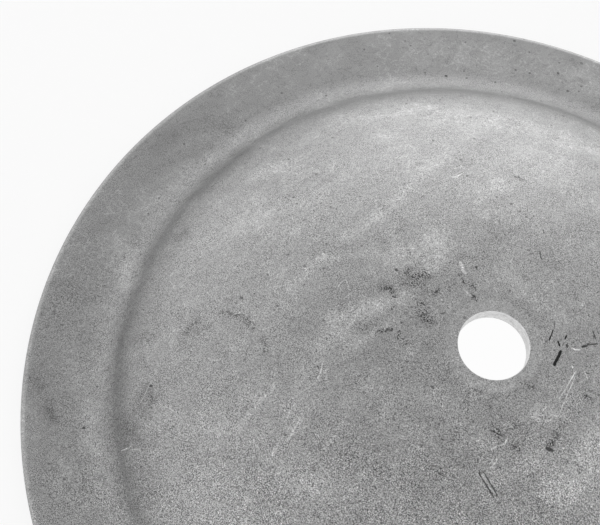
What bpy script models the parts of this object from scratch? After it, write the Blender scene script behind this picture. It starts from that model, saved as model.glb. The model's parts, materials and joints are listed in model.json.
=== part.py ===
"""Bell cymbal: a thick domed disc of raw cast aluminium with a flat flange and a stand hole at its crown.

Metres, +Z up. The Z axis is the axis of revolution. The underside of the flange lies on z = 0.
The casting is one piece, so the model is one closed solid turned from one closed profile.
"""

import math

import bmesh
import bpy

MM = 0.001

# Driving dimensions
DIAMETER = 170 * MM
WALL = 3.2 * MM
FLANGE_WIDTH = 11.3 * MM  # flat part, from the rim to the start of the fillet
FILLET_RADIUS = 7.5 * MM  # hollow curve from the flange up into the side, on the outside
SIDE_SLOPE = math.radians(62)  # steepest slope of the side, where the fillet meets the shoulder
SHOULDER_RADIUS = 25 * MM  # bulging curve from the side into the dome, on the outside
DOME_RADIUS = 104 * MM  # outer sphere of the dome
HOLE_DIAMETER = 12.7 * MM
SEAT_DIAMETER = 18 * MM  # flat ring round the hole, where a felt washer sits, above and below
RIM_ROUND_TOP = 1.0 * MM
RIM_ROUND_BOTTOM = 0.6 * MM
HOLE_CHAMFER = 0.4 * MM

# How finely the curves are cut
TURN_STEPS = 80
DOME_SEGMENTS = 9
SHOULDER_SEGMENTS = 4
FILLET_SEGMENTS = 6
RIM_SEGMENTS = 3

CAST_ALUMINIUM = (0.36, 0.36, 0.36, 1.0)
CAST_ROUGHNESS = 0.55
SHARP_ANGLE = math.radians(35)


def clear_scene():
    for obj in list(bpy.data.objects):
        bpy.data.objects.remove(obj, do_unlink=True)


def arc(centre, radius, start, end, segments):
    """Points of an arc in the X-Z plane, from angle start to angle end, measured from +Z towards +X."""
    x, z = centre
    angles = (start + (end - start) * step / segments for step in range(segments + 1))
    return [(x + radius * math.sin(angle), z + radius * math.cos(angle)) for angle in angles]


def bell_profile():
    """The wall's closed outline at +X: down the outside, round the rim, then up the inside to the hole."""
    rim = DIAMETER / 2
    hole = HOLE_DIAMETER / 2
    seat = SEAT_DIAMETER / 2

    # Fillet, shoulder and dome are arcs that touch one another, each with the centre that its
    # neighbour gives it. The inside has the same centres, so the wall keeps one thickness.
    fillet = (rim - FLANGE_WIDTH, WALL + FILLET_RADIUS)
    shoulder_reach = FILLET_RADIUS + SHOULDER_RADIUS
    shoulder = (
        fillet[0] - shoulder_reach * math.sin(SIDE_SLOPE),
        fillet[1] - shoulder_reach * math.cos(SIDE_SLOPE),
    )
    dome_reach = DOME_RADIUS - SHOULDER_RADIUS
    dome_slope = math.asin(shoulder[0] / dome_reach)
    dome = (0, shoulder[1] - dome_reach * math.cos(dome_slope))

    def skin(depth):
        """Dome, shoulder and fillet in turn, this deep under the outer surface."""
        dome_radius = DOME_RADIUS - depth
        seat_slope = math.asin(seat / dome_radius)
        points = arc(dome, dome_radius, seat_slope, dome_slope, DOME_SEGMENTS)
        points += arc(shoulder, SHOULDER_RADIUS - depth, dome_slope, SIDE_SLOPE, SHOULDER_SEGMENTS)[1:]
        points += arc(fillet, FILLET_RADIUS + depth, SIDE_SLOPE + math.pi, math.pi, FILLET_SEGMENTS)[1:]
        return points

    outer_skin = skin(0)
    inner_skin = skin(WALL)[::-1]
    upper_z = outer_skin[0][1]
    lower_z = inner_skin[-1][1]
    upper_seat = [(hole, upper_z - HOLE_CHAMFER), (hole + HOLE_CHAMFER, upper_z)]
    lower_seat = [(hole + HOLE_CHAMFER, lower_z), (hole, lower_z + HOLE_CHAMFER)]

    top_round = (rim - RIM_ROUND_TOP, WALL - RIM_ROUND_TOP)
    bottom_round = (rim - RIM_ROUND_BOTTOM, RIM_ROUND_BOTTOM)
    rim_edge = arc(top_round, RIM_ROUND_TOP, 0, math.pi / 2, RIM_SEGMENTS)
    rim_edge += arc(bottom_round, RIM_ROUND_BOTTOM, math.pi / 2, math.pi, RIM_SEGMENTS)
    return upper_seat + outer_skin + rim_edge + inner_skin + lower_seat


def turned_mesh(name, profile):
    """A closed profile in the X-Z plane, turned once round Z."""
    outline = bmesh.new()
    corners = [outline.verts.new((x, 0, z)) for x, z in profile]
    for first, second in zip(corners, corners[1:] + corners[:1]):
        outline.edges.new((first, second))
    mesh = bpy.data.meshes.new(name + "_profile")
    outline.to_mesh(mesh)
    outline.free()

    lathe = bpy.data.objects.new(name + "_profile", mesh)
    bpy.context.scene.collection.objects.link(lathe)
    screw = lathe.modifiers.new("Turn", "SCREW")
    screw.axis = "Z"
    screw.angle = math.tau
    screw.steps = TURN_STEPS
    screw.render_steps = TURN_STEPS
    screw.use_normal_calculate = False
    screw.use_merge_vertices = False

    graph = bpy.context.evaluated_depsgraph_get()
    turned = bpy.data.meshes.new_from_object(lathe.evaluated_get(graph))
    bpy.data.objects.remove(lathe, do_unlink=True)
    bpy.data.meshes.remove(mesh)
    turned.name = name
    turned.shade_smooth()
    turned.set_sharp_from_angle(angle=SHARP_ANGLE)
    return turned


def cast_aluminium():
    material = bpy.data.materials.new("cast_aluminium")
    material.use_nodes = True
    shader = material.node_tree.nodes["Principled BSDF"]
    shader.inputs["Base Color"].default_value = CAST_ALUMINIUM
    shader.inputs["Metallic"].default_value = 1.0
    shader.inputs["Roughness"].default_value = CAST_ROUGHNESS
    return material


def add_bell(collection):
    mesh = turned_mesh("bell", bell_profile())
    mesh.materials.append(cast_aluminium())
    bell = bpy.data.objects.new("bell", mesh)
    collection.objects.link(bell)


def main():
    clear_scene()
    collection = bpy.data.collections.new("bell_cymbal")
    bpy.context.scene.collection.children.link(collection)
    add_bell(collection)


main()
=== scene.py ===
"""Bell cymbal: a thick domed bell of raw cast aluminium with a flat flange, on a pale studio floor.

Lengths are metres and +Z is up. Z is the bell's axis of revolution, and the floor lies on z = 0.
One operator casts the bell and gives it its finish, and the other sets the studio round it. Their sizes
and colours are listed in the 3D view's sidebar. Marks on the bell lie where the photograph shows them:
their ends are pixels of the photograph, carried along the camera's rays onto the bell's top.
"""

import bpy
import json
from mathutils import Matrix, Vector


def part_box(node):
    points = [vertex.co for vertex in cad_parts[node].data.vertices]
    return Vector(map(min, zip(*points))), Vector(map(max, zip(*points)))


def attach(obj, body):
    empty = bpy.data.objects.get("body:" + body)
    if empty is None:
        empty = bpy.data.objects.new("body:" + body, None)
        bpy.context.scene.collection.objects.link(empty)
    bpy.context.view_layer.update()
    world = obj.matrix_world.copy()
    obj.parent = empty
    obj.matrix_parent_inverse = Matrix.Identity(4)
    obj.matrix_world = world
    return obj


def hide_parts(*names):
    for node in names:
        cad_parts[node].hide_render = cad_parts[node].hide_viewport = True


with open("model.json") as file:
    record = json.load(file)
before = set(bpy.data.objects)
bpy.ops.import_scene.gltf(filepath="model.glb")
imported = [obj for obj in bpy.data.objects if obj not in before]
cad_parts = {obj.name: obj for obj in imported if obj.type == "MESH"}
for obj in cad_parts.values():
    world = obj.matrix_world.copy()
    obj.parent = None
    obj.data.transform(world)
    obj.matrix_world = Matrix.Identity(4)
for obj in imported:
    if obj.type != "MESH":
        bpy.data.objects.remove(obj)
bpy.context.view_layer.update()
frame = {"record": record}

import json
import math
from typing import NamedTuple

import bpy
import numpy as np
from bpy.props import FloatProperty, FloatVectorProperty, IntProperty, PointerProperty
from mathutils import Matrix, Vector

bl_info = {
    "name": "Bell Cymbal",
    "version": (1, 0, 0),
    "blender": (4, 5, 0),
    "location": "3D View > Sidebar > Bell Cymbal",
    "description": "Casts a raw aluminium bell cymbal and sets a plain studio round it",
    "category": "Add Mesh",
}

MM = 0.001
LOW, HIGH = (np.array(corner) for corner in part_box("bell"))
RIM_RADIUS = (HIGH[0] - LOW[0]) / 2
MATERIAL_SLOT = frame["record"]["materials"][0]["slot"]

# The photograph's frame in pixels
PHOTO_WIDTH = 600
PHOTO_HEIGHT = 525

# The camera that shows the bell as the photograph does, with its lens and its sensor's width in mm
CAMERA_PLACE = Vector((0, -0.0969, 0.2613))
CAMERA_AIM = Vector((-0.0417, 0.0077, 0.0025))
CAMERA_ROLL = math.radians(10.4)
CAMERA_LENS = 84.0
CAMERA_SENSOR = 36.0
CAMERA_CLIP_START = 0.01

# How many rounds settle a pixel's place on the bell's top
RAY_ROUNDS = 40


class Mark(NamedTuple):
    """A line or spot on the bell's top: both ends as pixels, its half width in mm and how strong it is."""

    start: tuple
    end: tuple
    width: float
    strength: float = 1.0


BLACK_TICKS = [
    Mark((560.8, 351.5), (554.4, 364.5), 0.29),
    Mark((553.4, 329.5), (549.2, 340.5), 0.12),
    Mark((555, 321.5), (554.3, 328), 0.1, 0.6),
    Mark((566.7, 335.5), (565, 339), 0.15),
    Mark((558.2, 341.5), (558.4, 342.5), 0.16),
    Mark((559.2, 344), (559.5, 345.5), 0.18),
    Mark((566.9, 345), (567.4, 347), 0.2, 0.85),
    Mark((571.5, 347), (574, 351), 0.1, 0.5),
    Mark((582.5, 346.8), (586.5, 346), 0.2, 0.9),
    Mark((587, 345.5), (589, 343.6), 0.15, 0.8),
    Mark((590, 344.6), (598.5, 343.6), 0.14, 0.75),
    Mark((593.2, 331.5), (595.4, 338), 0.13, 0.8),
    Mark((598, 331), (598.6, 333.5), 0.12, 0.7),
    Mark((591.5, 354.5), (593.5, 356), 0.14, 0.6),
    Mark((584, 372.6), (590, 373.4), 0.12, 0.65),
    Mark((562, 322.8), (562.6, 324), 0.1, 0.6),
    Mark((588.5, 315), (589.2, 316), 0.14, 0.6),
    Mark((440, 313.4), (445, 312.8), 0.14, 0.7),
    Mark((540, 251), (541.5, 260), 0.12, 0.75),
    Mark((543.5, 230), (544, 233), 0.13, 0.7),
    Mark((530, 254), (534, 253), 0.1, 0.6),
    Mark((564.5, 342), (562.5, 346), 0.1, 0.5),
    Mark((562, 339.5), (560.5, 341), 0.1, 0.6),
    Mark((476, 266.5), (477, 269), 0.2, 0.8),
    Mark((478.5, 472.5), (493.5, 497), 0.15, 0.8),
    Mark((484, 472.8), (497.6, 496), 0.12, 0.65),
    Mark((478.6, 472.4), (484, 472.6), 0.1, 0.5),
]
LIGHT_SCRATCHES = [
    Mark((576, 371), (566, 388), 0.09, 0.8),
    Mark((566, 388), (559, 399), 0.08, 0.6),
    Mark((575, 377), (560, 412), 0.08, 0.7),
    Mark((572, 348), (576, 349.8), 0.15, 0.9),
    Mark((576, 349.8), (581, 349.5), 0.16, 1.0),
    Mark((507.5, 438), (504.5, 444), 0.14, 1.0),
    Mark((504.5, 444), (497, 446), 0.11, 0.9),
    Mark((497, 446), (491, 450), 0.1, 0.8),
    Mark((497.5, 457.5), (496, 462), 0.11, 0.9),
    Mark((496, 462), (490.5, 467.5), 0.12, 1.0),
    Mark((494, 458), (489.5, 464), 0.09, 0.8),
    Mark((323, 362), (320, 374), 0.11, 0.8),
    Mark((320, 374), (314, 384), 0.11, 0.8),
    Mark((258, 490), (257, 494), 0.12, 0.8),
    Mark((452, 177.5), (457, 176.5), 0.09, 0.5),
    Mark((457, 176.5), (463.5, 173), 0.1, 0.7),
    Mark((121, 451), (127, 448.5), 0.13, 0.9),
    Mark((129, 447.5), (133, 444), 0.1, 0.8),
    Mark((132, 449.5), (141, 449), 0.08, 0.5),
    Mark((460.5, 262.5), (462.5, 267), 0.34, 0.6),
    Mark((462, 269), (465.5, 273), 0.26, 0.55),
    Mark((287, 442), (300, 419), 0.14, 0.5),
    Mark((584.5, 371), (587.8, 379), 0.12, 0.7),
    Mark((572, 366), (573, 368), 0.2, 0.7),
    Mark((464, 289), (471, 296), 0.22, 0.35),
    Mark((551, 281), (556, 284), 0.12, 0.5),
    Mark((481.6, 474), (495, 495), 0.2, 0.35),
    Mark((222, 352), (235, 346), 0.1, 0.3),
    Mark((208, 358), (215, 361), 0.1, 0.4),
    Mark((215, 361), (222, 359), 0.09, 0.35),
    Mark((262, 330), (276, 325), 0.1, 0.35),
    Mark((276, 325), (290, 315), 0.09, 0.3),
    Mark((296, 396), (314, 384), 0.1, 0.35),
    Mark((314, 384), (330, 366), 0.09, 0.3),
    Mark((297, 402), (290, 409), 0.1, 0.45),
    Mark((290, 409), (287, 420), 0.1, 0.35),
    Mark((290, 425), (294, 432), 0.1, 0.4),
    Mark((295, 433), (286, 440), 0.1, 0.35),
    Mark((300, 452), (318, 462), 0.1, 0.3),
    Mark((318, 462), (330, 478), 0.1, 0.35),
    Mark((337, 287), (343, 281), 0.12, 0.45),
    Mark((346, 280), (350, 290), 0.1, 0.4),
    Mark((352, 292), (344, 298), 0.1, 0.35),
    Mark((139, 404), (144, 396), 0.1, 0.4),
    Mark((144, 396), (150, 382), 0.09, 0.35),
    Mark((112, 236), (118, 228), 0.1, 0.35),
    Mark((232, 270), (243, 260), 0.09, 0.3),
    Mark((224, 286), (228, 274), 0.09, 0.3),
]
DARK_SCUFFS = [
    Mark((404, 273), (414, 270), 1.3, 0.7),
    Mark((406, 283), (420, 285), 1.0, 0.75),
    Mark((414, 277), (427, 276), 1.5, 0.85),
    Mark((424, 284), (427, 290), 0.7, 0.6),
    Mark((424, 269), (427, 272), 0.7, 0.5),
    Mark((421, 304), (427, 320), 1.7, 0.75),
    Mark((424, 316), (430, 320), 1.1, 0.4),
    Mark((463, 281), (475, 288), 0.55, 1.0),
    Mark((471.5, 295), (477, 300), 0.55, 1.2),
    Mark((434, 294), (440, 290), 0.6, 0.8),
    Mark((563, 427), (549, 445), 0.45, 0.7),
    Mark((552, 442), (548, 448), 0.45, 1.0),
    Mark((511, 175), (524, 180), 0.45, 0.8),
    Mark((380, 289.5), (391, 287.5), 0.4, 0.9),
    Mark((391.5, 290), (395, 298), 0.45, 1.1),
    Mark((395, 298), (392, 308), 0.4, 1.0),
    Mark((380, 331), (392, 329), 0.6, 1.0),
    Mark((398, 331), (400, 338), 0.5, 1.1),
    Mark((400, 338), (407, 343), 0.6, 0.9),
    Mark((477, 388), (482, 391), 0.45, 0.6),
    Mark((486, 403), (491, 408), 0.55, 0.6),
    Mark((494, 430), (500, 436), 1.1, 1.0),
    Mark((511, 443), (519, 449), 0.8, 1.0),
    Mark((516, 426), (519, 422), 0.7, 0.9),
    Mark((519, 382), (532, 387), 0.9, 0.8),
    Mark((584, 395), (589, 398), 0.5, 1.0),
    Mark((584, 390), (593, 391), 0.3, 0.7),
    Mark((464, 336), (468, 340), 0.6, 0.7),
    Mark((575, 465), (580, 470), 0.7, 0.6),
    Mark((522, 276), (526, 280), 0.7, 0.8),
    Mark((425, 342), (432, 348), 0.8, 0.5),
    Mark((222, 313), (240, 316), 0.7, 0.7),
    Mark((245, 318), (254, 328), 0.7, 0.75),
    Mark((264, 338), (266, 352), 0.7, 0.7),
    Mark((186, 332), (196, 322), 1.2, 0.5),
    Mark((120, 420), (140, 440), 1.6, 0.4),
    Mark((336, 318), (344, 300), 0.7, 0.4),
]
DARK_SPOTS = [
    Mark((547.5, 448.5), (551, 450), 0.4),
    Mark((464, 317), (464.8, 318), 0.28, 0.9),
    Mark((396, 269.5), (396.8, 270.5), 0.28, 0.9),
    Mark((459, 275), (459.6, 275.8), 0.2, 0.8),
    Mark((391.7, 308.6), (392.2, 309.4), 0.2, 0.8),
    Mark((410, 252), (410.6, 252.8), 0.18, 0.7),
    Mark((483.5, 250.8), (484.2, 251.4), 0.16, 0.7),
    Mark((388, 329), (389, 330), 0.3, 0.7),
    Mark((241, 298), (242, 298), 0.25, 0.8),
    Mark((277, 306), (278, 306), 0.2, 0.7),
    Mark((326, 244), (327, 244), 0.2, 0.7),
    Mark((432, 387), (433, 388), 0.22, 0.7),
    Mark((150, 386), (151, 386), 0.27, 0.9),
    Mark((83, 428), (84, 428), 0.27, 0.9),
    Mark((446, 76), (447, 76), 0.28, 0.9),
    Mark((514, 41), (515, 41), 0.28, 0.7),
    Mark((495, 82), (496, 82), 0.2, 0.8),
    Mark((558, 73), (558, 74), 0.26, 0.8),
    Mark((559, 63), (560, 63), 0.22, 0.5),
    Mark((581, 63), (582, 64), 0.3, 0.5),
    Mark((567, 91), (568, 91), 0.25, 0.7),
    Mark((466, 78), (467, 78), 0.2, 0.6),
]
# Soft clouds that make the skin lighter, or darker where the strength is negative. They are partly the
# casting's uneven tone and partly painted light and shade, which lighten and darken the skin where the
# lamps don't
CLOUDS_AND_PAINTED_LIGHT = [
    Mark((255, 175), (290, 165), 3.5, 0.12),
    Mark((335, 125), (430, 108), 2.5, 0.1),
    # Painted light: lightens the far plateau, which the lamps leave too dark
    Mark((440, 115), (600, 150), 4.5, 0.09),
    Mark((485, 192), (498, 184), 2.6, 0.13),
    Mark((345, 238), (378, 216), 2.2, 0.15),
    Mark((378, 216), (435, 165), 2.4, 0.1),
    Mark((400, 255), (436, 250), 5.0, 0.16),
    Mark((422, 262), (430, 268), 2.8, 0.22),
    Mark((290, 287), (322, 258), 1.5, 0.22),
    Mark((322, 258), (375, 252), 1.5, 0.1),
    Mark((312, 368), (338, 322), 3.6, 0.14),
    Mark((333, 335), (345, 338), 3.6, 0.2),
    Mark((330, 318), (372, 300), 3.5, 0.08),
    Mark((230, 225), (330, 215), 8.0, 0.04),
    Mark((430, 245), (445, 225), 3.5, 0.1),
    Mark((505, 185), (540, 170), 4.5, 0.05),
    Mark((338, 322), (405, 298), 2.6, 0.22),
    Mark((345, 355), (392, 320), 1.3, 0.15),
    Mark((200, 250), (330, 190), 4.0, 0.06),
    Mark((300, 400), (470, 395), 6.0, 0.05),
    Mark((430, 395), (475, 440), 4.0, 0.06),
    Mark((536, 416), (552, 414), 2.4, 0.16),
    Mark((486, 441), (489, 444), 2.0, 0.35),
    Mark((560, 490), (600, 445), 5.0, 0.28),
    Mark((505, 480), (545, 455), 4.0, 0.1),
    Mark((285, 478), (320, 488), 4.0, 0.13),
    Mark((290, 405), (296, 425), 2.5, 0.16),
    Mark((235, 430), (275, 385), 1.0, 0.14),
    Mark((320, 455), (345, 420), 0.9, 0.12),
    Mark((66, 340), (88, 420), 3.5, 0.1),
    Mark((88, 440), (98, 450), 2.4, 0.14),
    Mark((55, 455), (68, 470), 2.6, 0.12),
    Mark((118, 235), (130, 285), 3.4, 0.14),
    Mark((135, 215), (190, 165), 3.2, 0.1),
    Mark((420, 50), (590, 85), 6.0, 0.06),
    Mark((510, 280), (560, 320), 3.5, 0.1),
    Mark((395, 470), (405, 420), 1.0, 0.08),
    Mark((220, 126), (230, 124), 3.0, -0.13),
    Mark((165, 135), (205, 122), 3.4, -0.07),
    Mark((155, 150), (170, 140), 2.8, -0.07),
    Mark((296, 64), (304, 66), 2.2, -0.13),
    Mark((380, 54), (388, 60), 3.4, -0.09),
    Mark((235, 314), (250, 342), 3.2, -0.07),
    Mark((186, 340), (198, 322), 3.0, -0.1),
    Mark((176, 238), (184, 232), 2.4, -0.18),
    Mark((265, 345), (266, 378), 1.6, -0.07),
    # Painted shade: the next lines widen the dark band in the hollow curve on the left
    Mark((138, 340), (150, 336), 2.4, -0.2),
    Mark((148, 395), (128, 440), 3.8, -0.22),
    Mark((140, 465), (150, 495), 4.0, -0.24),
    Mark((152, 402), (170, 370), 1.6, -0.1),
    Mark((480, 262), (500, 226), 4.5, -0.1),
    Mark((500, 232), (545, 250), 4.5, -0.1),
    Mark((552, 262), (560, 266), 2.6, -0.15),
    Mark((455, 168), (480, 148), 3.6, -0.15),
    Mark((560, 235), (590, 222), 2.4, -0.13),
    Mark((545, 200), (600, 185), 3.4, -0.1),
    Mark((372, 290), (408, 278), 1.8, -0.13),
    Mark((418, 318), (432, 322), 1.8, -0.2),
    Mark((35, 372), (52, 425), 3.8, -0.1),
    Mark((49, 411), (54, 420), 1.3, -0.3),
    Mark((29, 379), (40, 386), 1.6, -0.22),
    Mark((68, 290), (98, 298), 3.4, -0.09),
    Mark((60, 245), (95, 235), 2.6, -0.06),
    Mark((150, 440), (245, 465), 4.2, -0.1),
    Mark((190, 400), (225, 395), 3.2, -0.12),
    Mark((305, 436), (318, 446), 3.0, -0.13),
    Mark((350, 455), (375, 475), 4.0, -0.12),
    Mark((425, 475), (460, 465), 4.5, -0.14),
    Mark((340, 250), (352, 244), 2.2, -0.12),
    Mark((399, 230), (406, 223), 0.9, -0.34),
    Mark((383, 288), (389, 287), 0.8, -0.3),
    Mark((391, 289), (393, 296), 0.5, -0.25),
    Mark((500, 420), (525, 432), 3.0, -0.12),
    Mark((566, 422), (556, 435), 0.9, -0.22),
    Mark((556, 435), (549, 447), 1.2, -0.34),
    Mark((220, 352), (226, 356), 1.8, -0.16),
]


class PaintedLightRing(NamedTuple):
    """A soft band of painted light round the axis: its radius and half width in mm, its middle and half
    length as azimuths in degrees, and its strength, which is negative where it is painted shade, darker
    than the rest."""

    radius: float
    width: float
    azimuth: float
    spread: float
    strength: float


# Painted light and shade: these bands lighten or darken the skin by radius and azimuth where the lamps give
# the wrong shading, as on the far plateau and the left flange
PAINTED_LIGHT_RINGS = [
    PaintedLightRing(67.8, 2.6, 112, 95, 0.14),
    PaintedLightRing(67.0, 1.8, 215, 60, 0.08),
    PaintedLightRing(61.5, 3.0, 190, 50, -0.08),
    PaintedLightRing(43.0, 8.0, 95, 40, 0.05),
    PaintedLightRing(63.0, 2.4, 110, 80, -0.06),
    PaintedLightRing(55.0, 9.0, 112, 75, 0.08),
    PaintedLightRing(80.0, 7.0, 105, 70, 0.07),
    PaintedLightRing(80.0, 7.0, 190, 55, -0.12),
]

# The marks that are drawn sharply, by the word that starts the names of their values on the mesh
LINES = {"tick": BLACK_TICKS, "scratch": LIGHT_SCRATCHES, "spot": DARK_SPOTS}
# A mark claims the vertices of its layer this far from its edge, in cells of the mesh
MARK_REACH = 2.6
# A sharp mark's edge, from nothing to full, in its half widths
MARK_EDGE = (1.2, 0.7)

# The one gouge that is deep enough to be cut into the casting
GOUGE = Mark((480, 474), (497, 500), 0.34)
GOUGE_DEPTH = 0.16 * MM
GOUGE_LIP = 0.05 * MM

# Slow waves of the surface: longest and shortest, how many, and the seed that draws them
TOP_WAVES = {"longest": 60 * MM, "shortest": 7 * MM, "count": 48, "seed": 11}
UNDERSIDE_WAVES = {"longest": 40 * MM, "shortest": 4 * MM, "count": 64, "seed": 23}
# The underside's waves are this much higher, and a short wave is lower by this power of its length
UNDERSIDE_RISE = 1.4
WAVE_POWER = 0.8

# The narrow flat band inside the rim's round, and the angle past which an edge is shaded sharp
EDGE_BAND = 0.4 * MM
SHARP_ANGLE = math.radians(32)

# The stretches of the outline that face up, from the hole's upper bevel to the rim's upper round
UPPER_SIDE = slice(1, 9)
# How often a value of the outline is softened, and how uneven the skin is where the gouge may cut it
UNEVEN_PASSES = 6
TONE_PASSES = 4
GOUGED_SKIN = 0.9

# The cast grain is coarser on the near side: its strength at these distances from the axis to that side
NEAR_SIDE = math.radians(-57)
GRAIN_REACH = (-80 * MM, -60 * MM, -30 * MM, 0, 14 * MM, 32 * MM)
GRAIN_STRENGTH = (0.33, 0.6, 0.9, 1.0, 1.3, 2.1)
# The flange's grain is weaker by this share
FLANGE_CALM = 0.2
# The skin's brightness, beside its plain colour, is never under this
DARKEST_SKIN = 0.2

# The floor and the backdrop: the flat part's radius, the cove between them, and the top of the wall. Two
# rings of the flat part lie at these shares of its radius
FLOOR_RADIUS = 1.6
COVE_RADIUS = 0.5
WALL_HEIGHT = 1.1
FLOOR_RINGS = (0.02, 0.2)
SWEEP_STEPS = 96

# The share of the floor's look that is shaded, and so takes the bell's shadow, and the part of it that is
# left on the axis, which the hole shows. Each pair gives the distances from the axis at which a smooth
# factor of the share is 0 and 1
SHADOW_SHARE = 0.16
SHADOW_LOW = 0.15
SHADOW_NEAR = (0.02, 0.08)
SHADOW_FAR = (0.6, 0.15)

# Softboxes round the bell, this far from its axis
SOFTBOX_DISTANCE = 1.1


class Softbox(NamedTuple):
    """A lamp panel: its azimuth from +X towards +Y and its elevation in degrees, its sides in metres, and
    how bright it looks beside white."""

    name: str
    azimuth: float
    elevation: float
    width: float
    height: float
    level: float


SOFTBOXES = [
    Softbox("far_low", 108, 6, 0.9, 0.2, 1.6),
    Softbox("far_middle", 115, 20, 1.05, 0.22, 1.1),
    Softbox("far_upper", 105, 38, 1.25, 0.3, 0.65),
    Softbox("left_low", 160, 14, 0.5, 0.4, 0.45),
    Softbox("left_upper", 175, 38, 1.0, 0.3, 0.5),
    Softbox("near_left", 222, 38, 0.5, 0.3, 0.85),
    Softbox("near_left_high", 240, 60, 0.5, 0.5, 0.4),
    Softbox("right", 20, 58, 0.9, 0.5, 0.45),
]


class BellForm(bpy.types.PropertyGroup):
    """The bell's sizes. Its rim radius comes from the frame."""

    rim_radius: FloatProperty(
        name="Rim radius", description="Half the bell's diameter", default=RIM_RADIUS, unit="LENGTH"
    )
    wall: FloatProperty(
        name="Wall", description="Thickness of the casting", default=3.2 * MM, unit="LENGTH"
    )
    flange_width: FloatProperty(
        name="Flange width", description="Flat ring inside the rim", default=11.3 * MM, unit="LENGTH"
    )
    fillet_radius: FloatProperty(
        name="Fillet radius", description="Hollow curve up to the side", default=7.5 * MM, unit="LENGTH"
    )
    side_slope: FloatProperty(
        name="Side slope",
        description="Steepest slope of the side",
        default=math.radians(62),
        subtype="ANGLE",
    )
    shoulder_radius: FloatProperty(
        name="Shoulder radius", description="Curve from side to dome", default=25 * MM, unit="LENGTH"
    )
    dome_radius: FloatProperty(
        name="Dome radius", description="Sphere of the dome's outside", default=104 * MM, unit="LENGTH"
    )
    hole_radius: FloatProperty(
        name="Hole radius", description="Half the stand hole's diameter", default=6.35 * MM, unit="LENGTH"
    )
    seat_radius: FloatProperty(
        name="Seat radius", description="Outer radius of the washer seats", default=9 * MM, unit="LENGTH"
    )
    rim_round_top: FloatProperty(
        name="Upper rim round", description="Round on the rim's top edge", default=1.0 * MM, unit="LENGTH"
    )
    rim_round_bottom: FloatProperty(
        name="Lower rim round", description="Round on the rim's low edge", default=0.6 * MM, unit="LENGTH"
    )
    hole_chamfer: FloatProperty(
        name="Hole chamfer", description="Bevel at both ends of the hole", default=0.12 * MM, unit="LENGTH"
    )
    unevenness: FloatProperty(
        name="Unevenness", description="Height of the skin's slow waves", default=0.08 * MM, unit="LENGTH"
    )
    turn_steps: IntProperty(name="Turn steps", description="Steps round the axis", default=480, min=24)


class BellFinish(bpy.types.PropertyGroup):
    """Colours and gloss of the raw casting."""

    cast_colour: FloatVectorProperty(
        name="Casting", description="Tumbled cast skin", default=(0.36, 0.36, 0.36), subtype="COLOR"
    )
    worn_colour: FloatVectorProperty(
        name="Bare metal",
        description="Scratched or freshly cut metal",
        default=(0.78, 0.78, 0.78),
        subtype="COLOR",
    )
    scuff_colour: FloatVectorProperty(
        name="Scuffs", description="Dark handling marks", default=(0.06, 0.06, 0.06), subtype="COLOR"
    )
    tick_colour: FloatVectorProperty(
        name="Ticks", description="Near black scratches", default=(0.03, 0.03, 0.03), subtype="COLOR"
    )
    roughness: FloatProperty(
        name="Roughness",
        description="How dull the cast skin is",
        default=0.42,
        min=0,
        max=1,
        subtype="FACTOR",
    )


class StudioLook(bpy.types.PropertyGroup):
    """Levels of the studio's light and colour of its floor."""

    world_level: FloatProperty(
        name="World level", description="Even light from all round", default=0.67, min=0
    )
    lamp_level: FloatProperty(
        name="Lamp level", description="Multiplies every softbox", default=1.0, min=0
    )
    floor_colour: FloatVectorProperty(
        name="Floor", description="Floor and backdrop", default=(0.9, 0.9, 0.9), subtype="COLOR"
    )


def arc(centre, radius, start, end, points):
    """centre + radius * (sin a, cos a) for angles a spread evenly from start to end, from +Z outwards."""
    angle = np.linspace(start, end, points)
    return np.stack([centre[0] + radius * np.sin(angle), centre[1] + radius * np.cos(angle)], 1)


def straight(start, end, points):
    """start * (1 - t) + end * t for t spread evenly from 0 to 1."""
    share = np.linspace(0, 1, points)[:, None]
    return np.array(start) * (1 - share) + np.array(end) * share


def round_axis(radius, z, angle):
    """(r cos a, r sin a, z) for each radius r and height z of an outline and each angle a."""
    radius, z, angle = np.broadcast_arrays(radius, z, angle)
    return np.stack([radius * np.cos(angle), radius * np.sin(angle), z], -1)


class Stretch(NamedTuple):
    """One stretch of the bell's outline: its points, and how far it is each of these, from 0 to 1."""

    points: np.ndarray
    uneven: float = 0.0
    machined: float = 0.0
    sheltered: float = 0.0
    flange: float = 0.0
    underside: float = 0.0


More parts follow.
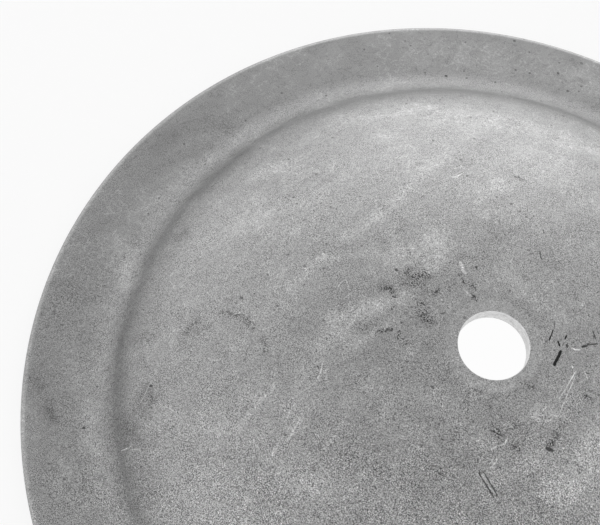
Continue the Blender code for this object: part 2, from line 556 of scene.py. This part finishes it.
def bell_stretches(form):
    """The wall's closed outline, stretch by stretch: down the outside, round the rim and up the inside.

    Fillet, shoulder and dome are arcs that touch: the centres of two neighbours lie apart by the sum of
    their radii where the curve turns over, and by the difference where it doesn't.
    """
    slope = form.side_slope
    fillet = (form.rim_radius - form.flange_width, form.wall + form.fillet_radius)
    reach = form.fillet_radius + form.shoulder_radius
    shoulder = (fillet[0] - reach * math.sin(slope), fillet[1] - reach * math.cos(slope))
    dome_reach = form.dome_radius - form.shoulder_radius
    dome_slope = math.asin(shoulder[0] / dome_reach)
    dome = (0, shoulder[1] - dome_reach * math.cos(dome_slope))

    def skin(depth, points, underside):
        """Dome, shoulder and fillet in turn, this deep under the outer surface. The fillet is sheltered."""
        dome_points, shoulder_points, fillet_points = points
        radius = form.dome_radius - depth
        seat_slope = math.asin(form.seat_radius / radius)
        over = arc(dome, radius, seat_slope, dome_slope, dome_points)
        round_off = arc(shoulder, form.shoulder_radius - depth, dome_slope, slope, shoulder_points)
        hollow = arc(fillet, form.fillet_radius + depth, slope + math.pi, math.pi, fillet_points)
        return [
            Stretch(over, uneven=1.0, underside=underside),
            Stretch(round_off, uneven=1.0, underside=underside),
            Stretch(hollow, uneven=1.0, sheltered=1.0, underside=underside),
        ]

    outer = skin(0, points=(78, 16, 14), underside=0.0)
    downward = skin(form.wall, points=(34, 8, 10), underside=1.0)
    inner = [part._replace(points=part.points[::-1]) for part in reversed(downward)]
    top_z = outer[0].points[0, 1]
    low_z = inner[-1].points[-1, 1]
    hole, seat, rim, bevel = form.hole_radius, form.seat_radius, form.rim_radius, form.hole_chamfer
    top_round = (rim - form.rim_round_top, form.wall - form.rim_round_top)
    low_round = (rim - form.rim_round_bottom, form.rim_round_bottom)
    edge = top_round[0] - EDGE_BAND
    right_angle = math.pi / 2
    upper_turn = arc(top_round, form.rim_round_top, 0, right_angle, points=7)
    lower_turn = arc(low_round, form.rim_round_bottom, right_angle, math.pi, points=5)
    return [
        Stretch(straight((hole, low_z + bevel), (hole, top_z - bevel), points=7), machined=0.72),
        Stretch(straight((hole, top_z - bevel), (hole + bevel, top_z), points=3), machined=1.0),
        Stretch(straight((hole + bevel, top_z), (seat, top_z), points=5), machined=0.2),
        *outer,
        Stretch(straight((fillet[0], form.wall), (edge, form.wall), points=12), uneven=0.7, flange=1.0),
        Stretch(straight((edge, form.wall), (top_round[0], form.wall), points=3), flange=1.0),
        Stretch(upper_turn, machined=0.12, flange=1.0),
        Stretch(lower_turn, machined=0.12, flange=1.0),
        Stretch(straight((low_round[0], 0), (fillet[0], 0), points=6), underside=1.0),
        *inner,
        Stretch(straight((seat, low_z), (hole + bevel, low_z), points=4), underside=1.0),
        Stretch(straight((hole + bevel, low_z), (hole, low_z + bevel), points=3), machined=1.0),
    ]


def joined(stretches):
    """The stretches' points end to end without doubles, and their values at each point, by name."""
    points = np.concatenate([part.points[:-1] for part in stretches])
    counts = [len(part.points) - 1 for part in stretches]
    names = Stretch._fields[1:]
    values = {name: np.repeat([getattr(part, name) for part in stretches], counts) for name in names}
    return points, values


def softened(values, passes):
    """Each value of a closed row made the mean of itself and its two neighbours, so many times over."""
    for _ in range(passes):
        values = (values + np.roll(values, 1) + np.roll(values, -1)) / 3
    return values


def waves(x, y, longest, shortest, count, seed):
    """sqrt(2 / count) times the sum of (length / longest)^power * cos(tau * distance / length + phase).

    The distance is along each wave's heading. Lengths are drawn evenly over the octaves, and headings and
    phases over the circle.
    """
    draw = np.random.default_rng(seed)
    length = longest * (shortest / longest) ** draw.random(count)
    heading = draw.uniform(0, math.tau, count)
    phase = draw.uniform(0, math.tau, count)
    height = np.zeros_like(x)
    for size, angle, shift in zip(length, heading, phase):
        turn = (x * math.cos(angle) + y * math.sin(angle)) * math.tau / size
        height += np.cos(turn + shift) * (size / longest) ** WAVE_POWER
    return height * math.sqrt(2 / count)


def distance_to_line(x, y, start, end):
    """Distance of each (x, y) to the line from start to end, past its ends to the nearer one."""
    run = np.array(end) - np.array(start)
    share = ((x - start[0]) * run[0] + (y - start[1]) * run[1]) / (run @ run)
    share = np.clip(share, 0, 1)
    return np.hypot(x - start[0] - share * run[0], y - start[1] - share * run[1])


def mark_ends(mark, outline):
    """The two places (x, y) on the bell's top that a mark runs between."""
    return [np.array(on_top(pixel, outline)) for pixel in (mark.start, mark.end)]


def mark_layers(x, y, cell, marks, outline):
    """Marks as three numbers to a vertex, from which a material draws them sharply between the vertices.

    The first two are signed and over the mark's half width: the distance past its nearer end, and the
    distance across it. They change evenly with x and y, so they hold between the vertices too, and their
    length is under 1 on the mark. The third is the mark's strength within a cell of it, and falls to 0
    half a cell further off. A mark goes into the first layer that has no other mark near.
    """
    layers = []
    for mark in marks:
        start, end = mark_ends(mark, outline)
        length = np.linalg.norm(end - start)
        run = (end - start) / length
        middle = (start + end) / 2
        along = (x - middle[0]) * run[0] + (y - middle[1]) * run[1]
        across = (y - middle[1]) * run[0] - (x - middle[0]) * run[1]
        past = np.sign(along) * np.maximum(abs(along) - length / 2, 0)
        width = mark.width * MM
        cells = (np.hypot(past, across) - width) / cell
        near = cells < MARK_REACH
        strength = mark.strength * np.clip(3 - 2 * cells, 0, 1)
        values = np.stack([past / width, across / width, strength], -1)
        free = [layer for layer in layers if not layer[near].any()]
        if not free:
            free = [np.zeros((*x.shape, 3))]
            layers.append(free[0])
        free[0][near] = values[near]
    return layers


def soft_edge(distance):
    """(1 - d^2)^2 for a distance d under 1, and 0 past it."""
    return np.clip(1 - distance**2, 0, 1) ** 2


def coverage(x, y, marks, outline):
    """The strengths of all these soft marks at a vertex, each times the soft edge of its distance."""
    cover = np.zeros_like(x)
    for mark in marks:
        distance = distance_to_line(x, y, *mark_ends(mark, outline))
        cover += mark.strength * soft_edge(distance / (mark.width * MM))
    return cover


def painted_ring_light(x, y):
    """The painted light and shade of all rings at a vertex: each ring's strength times the soft edges
    across it and along it.
    """
    tone = np.zeros_like(x)
    for ring in PAINTED_LIGHT_RINGS:
        across = (np.hypot(x, y) / MM - ring.radius) / ring.width
        along = (np.degrees(np.arctan2(y, x)) - ring.azimuth + 180) % 360 - 180
        tone += ring.strength * soft_edge(across) * soft_edge(along / ring.spread)
    return tone


def groove(distance, width, depth, lip):
    """-depth * exp(-(d/w)^2), with a lip of metal pushed up on both sides, two widths out."""
    return lip * np.exp(-((distance / width - 2) ** 2)) - depth * np.exp(-((distance / width) ** 2))


def camera_axes():
    """The camera's right, up and back directions."""
    back = (CAMERA_PLACE - CAMERA_AIM).normalized()
    level = Vector((0, 0, 1)).cross(back).normalized()
    upright = back.cross(level)
    right = level * math.cos(CAMERA_ROLL) + upright * math.sin(CAMERA_ROLL)
    return right, back.cross(right), back


def on_top(pixel, outline):
    """The place (x, y) on the bell's top that this pixel of the photograph shows.

    The place is where the camera's ray through the pixel is at a certain height. Each round moves that
    height half way to the top's height at the place found, until both agree.
    """
    right, up, back = camera_axes()
    focal = CAMERA_LENS / CAMERA_SENSOR * PHOTO_WIDTH
    ray = right * (pixel[0] - PHOTO_WIDTH / 2) + up * (PHOTO_HEIGHT / 2 - pixel[1]) - back * focal
    height = 0.0
    for _ in range(RAY_ROUNDS):
        place = CAMERA_PLACE + ray * ((height - CAMERA_PLACE.z) / ray.z)
        radius = math.hypot(place.x, place.y)
        height = 0.5 * height + 0.5 * np.interp(radius, outline[:, 0], outline[:, 1])
    return place.x, place.y


def top_outline(stretches):
    """The upper side's points, from the hole's edge to the rim, in order of radius."""
    return np.concatenate([part.points for part in stretches[UPPER_SIDE]])


def turned_skin(form, stretches):
    """The bell's surface on a grid of outline points by steps round the axis.

    A point is (r cos a, r sin a, z) + h * (n_r cos a, n_r sin a, n_z), with (r, z) on the outline, n its
    normal there and h the height of the waves and of the gouge at (x, y).
    """
    points, lining = joined(stretches)
    uneven = softened(lining["uneven"], UNEVEN_PASSES)[:, None]
    sheltered = softened(lining["sheltered"], TONE_PASSES)[:, None]
    flange = softened(lining["flange"], TONE_PASSES)[:, None]
    machined = lining["machined"][:, None]
    hidden = lining["underside"][:, None] > 0
    along = np.roll(points, -1, 0) - np.roll(points, 1, 0)
    span = np.linalg.norm(along, axis=1, keepdims=True)
    normal = np.stack([-along[:, 1], along[:, 0]], 1) / span

    angle = np.linspace(0, math.tau, form.turn_steps, endpoint=False)
    x = points[:, :1] * np.cos(angle)
    y = points[:, :1] * np.sin(angle)
    height = np.where(hidden, waves(x, y, **UNDERSIDE_WAVES) * UNDERSIDE_RISE, waves(x, y, **TOP_WAVES))
    height *= form.unevenness * uneven

    outline = top_outline(stretches)
    gap = distance_to_line(x, y, *mark_ends(GOUGE, outline))
    gouge = groove(gap, GOUGE.width * MM, GOUGE_DEPTH, GOUGE_LIP)
    height += np.where(hidden, 0, gouge) * (uneven > GOUGED_SKIN)

    radius = points[:, :1] + height * normal[:, :1]
    z = np.clip(points[:, 1:] + height * normal[:, 1:], LOW[2], HIGH[2])
    grid = round_axis(radius, z, angle)

    cell = np.hypot(span / 2, points[:, :1] * math.tau / form.turn_steps)
    shown = ~hidden
    everywhere = np.ones_like(x)
    towards = x * math.cos(NEAR_SIDE) + y * math.sin(NEAR_SIDE)
    values = {
        "machined": machined * everywhere,
        "sheltered": sheltered * everywhere,
        "underside": hidden * everywhere,
        "coarse": np.interp(towards, GRAIN_REACH, GRAIN_STRENGTH) * (1 - FLANGE_CALM * flange),
        "scuff": coverage(x, y, DARK_SCUFFS, outline) * shown,
        # Painted light and shade: the clouds and rings lighten and darken the skin through this value
        "tone": (coverage(x, y, CLOUDS_AND_PAINTED_LIGHT, outline) + painted_ring_light(x, y)) * shown,
    }
    for name, marks in LINES.items():
        for count, layer in enumerate(mark_layers(x, y, cell, marks, outline)):
            values[f"{name}_{count}"] = layer * shown[..., None]
    return grid, values


def closed_grid_faces(rows, columns):
    """Quads of a grid that closes both ways, turned so that they face out of a solid."""
    i, j = np.meshgrid(np.arange(rows), np.arange(columns), indexing="ij")
    down, across = (i + 1) % rows, (j + 1) % columns
    corners = [i * columns + j, down * columns + j, down * columns + across, i * columns + across]
    return np.stack(corners, -1).reshape(-1, 4)


def grid_mesh(name, vertices, quads):
    """A mesh of numpy vertices and quads, put in with foreach_set."""
    mesh = bpy.data.meshes.new(name)
    mesh.vertices.add(len(vertices))
    mesh.vertices.foreach_set("co", vertices.astype(np.float32).ravel())
    mesh.loops.add(quads.size)
    mesh.loops.foreach_set("vertex_index", quads.astype(np.int32).ravel())
    mesh.polygons.add(len(quads))
    mesh.polygons.foreach_set("loop_start", np.arange(0, quads.size, 4, dtype=np.int32))
    mesh.update(calc_edges=True)
    mesh.validate()
    mesh.shade_smooth()
    return mesh


def add_values(mesh, name, values):
    """One number or three for each vertex of a grid, which a material reads by this name."""
    kind, entry = ("FLOAT_VECTOR", "vector") if values.ndim == 3 else ("FLOAT", "value")
    attribute = mesh.attributes.new(name, kind, "POINT")
    attribute.data.foreach_set(entry, values.astype(np.float32).ravel())


def add_object(name, data):
    """Puts a mesh, lamp or camera in the scene."""
    added = bpy.data.objects.new(name, data)
    bpy.context.scene.collection.objects.link(added)
    return added


class Field:
    """A number that varies over a surface: a node's output, on which arithmetic adds Math nodes."""

    def __init__(self, finish, socket):
        self.finish = finish
        self.socket = socket

    def math(self, operation, *values):
        """One Math node on these values, of which at least one is a Field."""
        return self.finish.node("Math", {"operation": operation}, dict(enumerate(values)))

    def __add__(self, other):
        return self.math("ADD", self, other)

    def __sub__(self, other):
        return self.math("SUBTRACT", self, other)

    def __rsub__(self, other):
        return self.math("SUBTRACT", other, self)

    def __mul__(self, other):
        return self.math("MULTIPLY", self, other)

    __radd__ = __add__
    __rmul__ = __mul__

    def most(self, other):
        """The larger of the two."""
        return self.math("MAXIMUM", self, other)

    def size(self):
        """The value without its sign."""
        return self.math("ABSOLUTE", self)


class Finish:
    """A material's nodes round its Principled shader."""

    # A Mix node has sockets for numbers and vectors too: its colours and its mixed colour are these
    MIX_FIRST, MIX_SECOND, MIX_RESULT = 6, 7, 2

    def __init__(self, name):
        self.material = bpy.data.materials.new(name)
        self.material.use_nodes = True
        self.nodes = self.material.node_tree.nodes
        self.links = self.material.node_tree.links
        self.shader = self.nodes["Principled BSDF"]

    def node(self, kind, settings=None, sockets=None, output=0):
        """Adds one node: its settings first, then the values or links of its sockets. Gives one output."""
        made = self.nodes.new("ShaderNode" + kind)
        for key, value in (settings or {}).items():
            setattr(made, key, value)
        for key, value in (sockets or {}).items():
            self.feed(made.inputs[key], value)
        return Field(self, made.outputs[output])

    def feed(self, socket, value):
        """Links a Field to a socket, or sets the socket to a plain value."""
        if isinstance(value, Field):
            self.links.new(value.socket, socket)
        else:
            socket.default_value = value

    def surface(self, **values):
        """Values or links for the shader's sockets, with _ in a socket's name for a space."""
        for key, value in values.items():
            self.feed(self.shader.inputs[key.replace("_", " ")], value)

    def noise(self, place, scale, detail=2.0, roughness=0.5):
        """Noise from 0 to 1 round 0.5: its features to a unit of place, how many finer levels it has, and
        how strong each is beside the one before."""
        sockets = {"Vector": place, "Scale": scale, "Detail": detail, "Roughness": roughness}
        return self.node("TexNoise", {}, sockets)

    def vein(self, place, scale, width):
        """1 on the wandering lines where a noise is near its middle, 0 off them."""
        middle = self.noise(place, scale, 4.0, 0.6) - 0.5
        return self.step(middle.size(), width, 0.25 * width)

    def step(self, value, low, high):
        """0 below low, 1 above high, and a smooth rise between. With low over high it falls instead."""
        sockets = {"Value": value, "From Min": low, "From Max": high}
        return self.node("MapRange", {"interpolation_type": "SMOOTHSTEP"}, sockets)

    def turned(self, place, angle, scale):
        """The place turned about Z by an angle, then scaled along each axis, for stretched patterns."""
        stretch = tuple(1 / part for part in scale)
        sockets = {"Vector": place, "Rotation": (0, 0, angle), "Scale": stretch}
        return self.node("Mapping", {"vector_type": "TEXTURE"}, sockets)

    def scaled(self, vector, amount):
        """A vector or colour times a number."""
        return self.node("VectorMath", {"operation": "SCALE"}, {0: vector, "Scale": amount})

    def blend(self, factor, first, second):
        """The first colour where factor is 0, the second where it is 1."""
        sockets = {0: factor, self.MIX_FIRST: first, self.MIX_SECOND: second}
        return self.node("Mix", {"data_type": "RGBA"}, sockets, self.MIX_RESULT)


def colour(values):
    """A colour property as the four numbers that a socket takes."""
    return (*values, 1.0)


def drawn(finish, layers, edge_noise):
    """The most that any layer of marks covers a place, from 0 to 1, with edges made ragged by noise."""
    cover = None
    for name in layers:
        place = finish.node("Attribute", {"attribute_name": name}, output="Vector")
        across = finish.node("VectorMath", {"operation": "MULTIPLY"}, {0: place, 1: (1, 1, 0)})
        distance = finish.node("VectorMath", {"operation": "LENGTH"}, {0: across}, "Value")
        strength = finish.node("SeparateXYZ", {}, {0: place}, "Z")
        mark = finish.step(distance + edge_noise, *MARK_EDGE) * strength
        cover = mark if cover is None else cover.most(mark)
    return cover


def cast_aluminium(colours, layers):
    """Raw cast aluminium: tumbled grain with light and dark outliers, mottling, streaks and fine veins,
    painted light and shade from the clouds and rings, and over it scuffs, pits, ticks, scratches and cut
    metal.

    Places are millimetres, and so are the heights of the bump. layers names the mesh's values for each
    kind of mark.
    """
    finish = Finish(MATERIAL_SLOT)
    place = finish.scaled(finish.node("TexCoord", output="Object"), 1 / MM)

    def cover(name):
        return finish.node("Attribute", {"attribute_name": name}, output="Fac")

    underside = cover("underside")
    machined = cover("machined")
    sheltered = cover("sheltered")
    coarse = cover("coarse")
    tone = cover("tone")
    lighter = finish.step(tone, 0.0, 0.2)

    # The grain with its light and dark outliers, stronger in patches and where the skin is lighter
    patch = finish.step(finish.noise(place, 0.22, 4.0, 0.6), 0.42, 0.6) + 0.6 * lighter
    grain = (finish.noise(place, 6.2, 1.0, 0.6) - 0.5) * coarse * (0.9 + 0.22 * patch)
    dots = finish.noise(place, 4.4, 1.0, 0.5)
    sparks = finish.step(dots, 0.6, 0.68) * coarse * (0.6 + 0.6 * patch)
    pricks = finish.step(dots, 0.4, 0.32) * coarse * (0.7 + 0.6 * patch)
    crackle = finish.vein(place, 1.2, 0.035) * (0.15 + lighter)
    fleck = (finish.noise(place, 1.5, 3.0, 0.6) - 0.5) * coarse

    # Broader patterns: blotches, clouds, streaks that run one way, and veins
    blotch = finish.noise(place, 0.24, 4.0, 0.5) - 0.5
    cloud = finish.noise(place, 0.055, 4.0, 0.55) - 0.5
    streak_place = finish.turned(place, math.radians(70), (0.05, 0.55, 0.3))
    streak = finish.noise(streak_place, 1.0, 4.0, 0.65) - 0.5
    hair_place = finish.turned(place, math.radians(64), (0.16, 3.5, 2.0))
    hair = finish.step(finish.noise(hair_place, 1.0, 2.0, 0.6), 0.66, 0.76)
    patchy = finish.step(finish.noise(place, 0.12, 3.0, 0.6), 0.5, 0.62)
    light_vein = finish.vein(place, 0.45, 0.022) * patchy.most(finish.step(tone, 0.02, 0.12))
    dark_place = finish.turned(place, math.radians(40), (0.5, 0.8, 0.7))
    dark_vein = finish.vein(dark_place, 0.5, 0.018) * (1 - patchy)

    # The marks, with ragged edges
    ragged = 1.2 * fleck
    broken = finish.step(finish.noise(place, 4.0, 1.0, 0.6), 0.36, 0.52)
    speckle = finish.step(finish.noise(place, 3.6, 1.0, 0.5), 0.51, 0.56)
    ticks = drawn(finish, layers["tick"], ragged)
    scratches = 1.2 * drawn(finish, layers["scratch"], ragged) * broken
    spots = drawn(finish, layers["spot"], ragged)
    scuffs = 1.3 * cover("scuff") * speckle

    # How bright the skin is beside its plain colour, with painted light and shade from the clouds and
    # rings, then what lies over it
    level = 1 + 3.1 * grain + 0.36 * sparks - 0.3 * pricks + 0.06 * fleck + 0.19 * blotch
    level = level + 0.12 * cloud + 0.24 * streak + 0.16 * hair + 0.34 * light_vein - 0.18 * dark_vein
    level = level + 0.22 * crackle + tone * (0.75 + 2.8 * blotch + 2.0 * fleck)
    skin = finish.scaled(tuple(colours.cast_colour), level.most(DARKEST_SKIN))
    pit_distance = finish.node("TexVoronoi", {}, {"Vector": place, "Scale": 0.3})
    pits = finish.step(pit_distance, 0.1, 0.05)
    dirt = scuffs.most(spots * 0.85).most(pits * 0.5)
    skin = finish.blend(dirt, skin, colour(colours.scuff_colour))
    skin = finish.blend(ticks, skin, colour(colours.tick_colour))
    bare = scratches.most(machined * 0.85)
    ring_place = finish.turned(place, 0, (0.5, 0.5, 4))
    rings = finish.noise(ring_place, 1.0, 3.0, 0.65) - 0.5
    cut_metal = finish.scaled(tuple(colours.worn_colour), 1 + 0.9 * rings + 1.0 * fleck)
    skin = finish.blend(bare, skin, cut_metal)

    roughness = colours.roughness + 0.12 * blotch + 0.15 * grain + 0.08 * cloud
    roughness = roughness + 0.2 * dirt + 0.12 * sheltered - 0.12 * machined - 0.08 * scratches
    height = 0.028 * grain + 0.012 * fleck + 0.03 * blotch
    height = height - 0.03 * pits - 0.03 * spots - 0.02 * scratches
    height = height * (1 - 0.7 * machined) + 0.012 * rings * machined + 0.05 * underside * fleck
    bump = finish.node("Bump", {}, {"Strength": 1.0, "Distance": MM, "Height": height})
    finish.surface(Base_Color=skin, Metallic=1.0, Roughness=roughness, Normal=bump)
    return finish.material


class BELL_CYMBAL_OT_cast_bell(bpy.types.Operator):
    """Casts the bell in place of its plain solid and gives it its raw finish"""

    bl_idname = "bell_cymbal.cast_bell"
    bl_label = "Cast Bell"

    def execute(self, context):
        form = context.scene.bell_form
        stretches = bell_stretches(form)
        grid, values = turned_skin(form, stretches)
        rows, columns = grid.shape[:2]
        mesh = grid_mesh("cast_bell", grid.reshape(-1, 3), closed_grid_faces(rows, columns))
        mesh.set_sharp_from_angle(angle=SHARP_ANGLE)
        for name, numbers in values.items():
            add_values(mesh, name, numbers)
        layers = {kind: [name for name in values if name.startswith(kind)] for kind in LINES}
        mesh.materials.append(cast_aluminium(context.scene.bell_finish, layers))
        bell = add_object("cast_bell", mesh)
        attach(bell, "root")
        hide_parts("bell")
        return {"FINISHED"}


def studio_white(floor_colour):
    """Floor and backdrop: white to the camera and in reflections, with a share left that takes the shadow.

    The share is largest round the bell. It is low on the axis, which the stand hole shows, and far out
    there is none.
    """
    finish = Finish("studio_white")
    finish.surface(Base_Color=colour(floor_colour), Roughness=1.0, Specular_IOR_Level=0.0)
    seen = finish.node("LightPath", output="Is Camera Ray")
    for ray in ("Is Glossy Ray", "Is Transmission Ray"):
        seen = seen.most(finish.node("LightPath", output=ray))
    place = finish.node("TexCoord", output="Object")
    reach = finish.node("VectorMath", {"operation": "LENGTH"}, {0: place}, "Value")
    near = SHADOW_LOW + (1 - SHADOW_LOW) * finish.step(reach, *SHADOW_NEAR)
    share = SHADOW_SHARE * near * finish.step(reach, *SHADOW_FAR)
    glow = finish.node("Emission", {}, {"Color": (1, 1, 1, 1), "Strength": 1.0})
    mixed = finish.node("MixShader", {}, {0: seen * (1 - share), 2: glow})
    finish.links.new(finish.shader.outputs[0], mixed.socket.node.inputs[1])
    finish.links.new(mixed.socket, finish.nodes["Material Output"].inputs["Surface"])
    return finish.material


def sweep_mesh(name):
    """A round floor that curves up into a wall: (r cos a, r sin a, z), with (r, z) along disc, cove, wall.

    Triangles from the innermost ring to a point on the axis close the middle.
    """
    disc = [(share * FLOOR_RADIUS, 0) for share in FLOOR_RINGS]
    cove = arc((FLOOR_RADIUS, COVE_RADIUS), COVE_RADIUS, math.pi, math.pi / 2, points=17)
    wall = straight(cove[-1], (cove[-1, 0], WALL_HEIGHT), points=3)
    points = np.concatenate([disc, cove, wall[1:]])
    angle = np.linspace(0, math.tau, SWEEP_STEPS, endpoint=False)
    rings = round_axis(points[:, :1], points[:, 1:], angle).reshape(-1, 3)
    vertices = np.concatenate([rings, [(0, 0, 0)]])
    quads = closed_grid_faces(len(points), SWEEP_STEPS)[:-SWEEP_STEPS]
    first = np.arange(SWEEP_STEPS)
    middle = np.stack([np.full(SWEEP_STEPS, len(rings)), first, np.roll(first, -1)], -1)
    mesh = bpy.data.meshes.new(name)
    mesh.from_pydata(vertices.tolist(), [], quads.tolist() + middle.tolist())
    mesh.update()
    mesh.shade_smooth()
    return mesh


def add_softbox(box, lamp_level):
    """A rectangular lamp that faces the axis. Its power is level * pi * area, so it looks that bright."""
    lamp = bpy.data.lights.new(box.name, "AREA")
    lamp.shape = "RECTANGLE"
    lamp.size = box.width
    lamp.size_y = box.height
    lamp.energy = box.level * lamp_level * math.pi * box.width * box.height
    azimuth, elevation = math.radians(box.azimuth), math.radians(box.elevation)
    flat = math.cos(elevation)
    away = Vector((flat * math.cos(azimuth), flat * math.sin(azimuth), math.sin(elevation)))
    turn = away.to_track_quat("Z", "Y").to_matrix()
    holder = add_object(box.name, lamp)
    holder.matrix_world = Matrix.Translation(away * SOFTBOX_DISTANCE) @ turn.to_4x4()
    holder.visible_camera = False


def add_camera():
    """The camera at the photograph's place and angle."""
    camera = bpy.data.cameras.new("camera")
    camera.sensor_width = CAMERA_SENSOR
    camera.lens = CAMERA_LENS
    camera.clip_start = CAMERA_CLIP_START
    turn = Matrix(camera_axes()).transposed()
    holder = add_object("camera", camera)
    holder.matrix_world = Matrix.Translation(CAMERA_PLACE) @ turn.to_4x4()
    bpy.context.scene.camera = holder


def even_world(level):
    """A world that is equally bright all round."""
    world = bpy.data.worlds.new("studio")
    world.use_nodes = True
    background = world.node_tree.nodes["Background"]
    background.inputs["Color"].default_value = (1, 1, 1, 1)
    background.inputs["Strength"].default_value = level
    bpy.context.scene.world = world


class BELL_CYMBAL_OT_set_studio(bpy.types.Operator):
    """Sets the pale floor and backdrop, the softboxes, the world and the camera"""

    bl_idname = "bell_cymbal.set_studio"
    bl_label = "Set Studio"

    def execute(self, context):
        look = context.scene.bell_studio
        mesh = sweep_mesh("studio_sweep")
        mesh.materials.append(studio_white(look.floor_colour))
        sweep = add_object("studio_sweep", mesh)
        for box in SOFTBOXES:
            add_softbox(box, look.lamp_level)
        even_world(look.world_level)
        add_camera()
        context.scene.view_settings.view_transform = "Standard"
        return {"FINISHED"}


class BELL_CYMBAL_PT_sidebar(bpy.types.Panel):
    """Lists the bell's sizes and colours, the studio's levels and the two operators."""

    bl_label = "Bell Cymbal"
    bl_idname = "BELL_CYMBAL_PT_sidebar"
    bl_space_type = "VIEW_3D"
    bl_region_type = "UI"
    bl_category = "Bell Cymbal"

    def draw(self, context):
        scene = context.scene
        groups = [
            (scene.bell_form, BELL_CYMBAL_OT_cast_bell),
            (scene.bell_finish, None),
            (scene.bell_studio, BELL_CYMBAL_OT_set_studio),
        ]
        for group, operator in groups:
            box = self.layout.box()
            for name in group.__annotations__:
                box.prop(group, name)
            if operator:
                box.operator(operator.bl_idname)


CLASSES = (
    BellForm,
    BellFinish,
    StudioLook,
    BELL_CYMBAL_OT_cast_bell,
    BELL_CYMBAL_OT_set_studio,
    BELL_CYMBAL_PT_sidebar,
)


def register():
    for each in CLASSES:
        bpy.utils.register_class(each)
    bpy.types.Scene.bell_form = PointerProperty(type=BellForm)
    bpy.types.Scene.bell_finish = PointerProperty(type=BellFinish)
    bpy.types.Scene.bell_studio = PointerProperty(type=StudioLook)


def unregister():
    del bpy.types.Scene.bell_studio
    del bpy.types.Scene.bell_finish
    del bpy.types.Scene.bell_form
    for each in reversed(CLASSES):
        bpy.utils.unregister_class(each)


def main():
    register()
    bpy.ops.bell_cymbal.cast_bell()
    bpy.ops.bell_cymbal.set_studio()


if __name__ == "__main__":
    main()
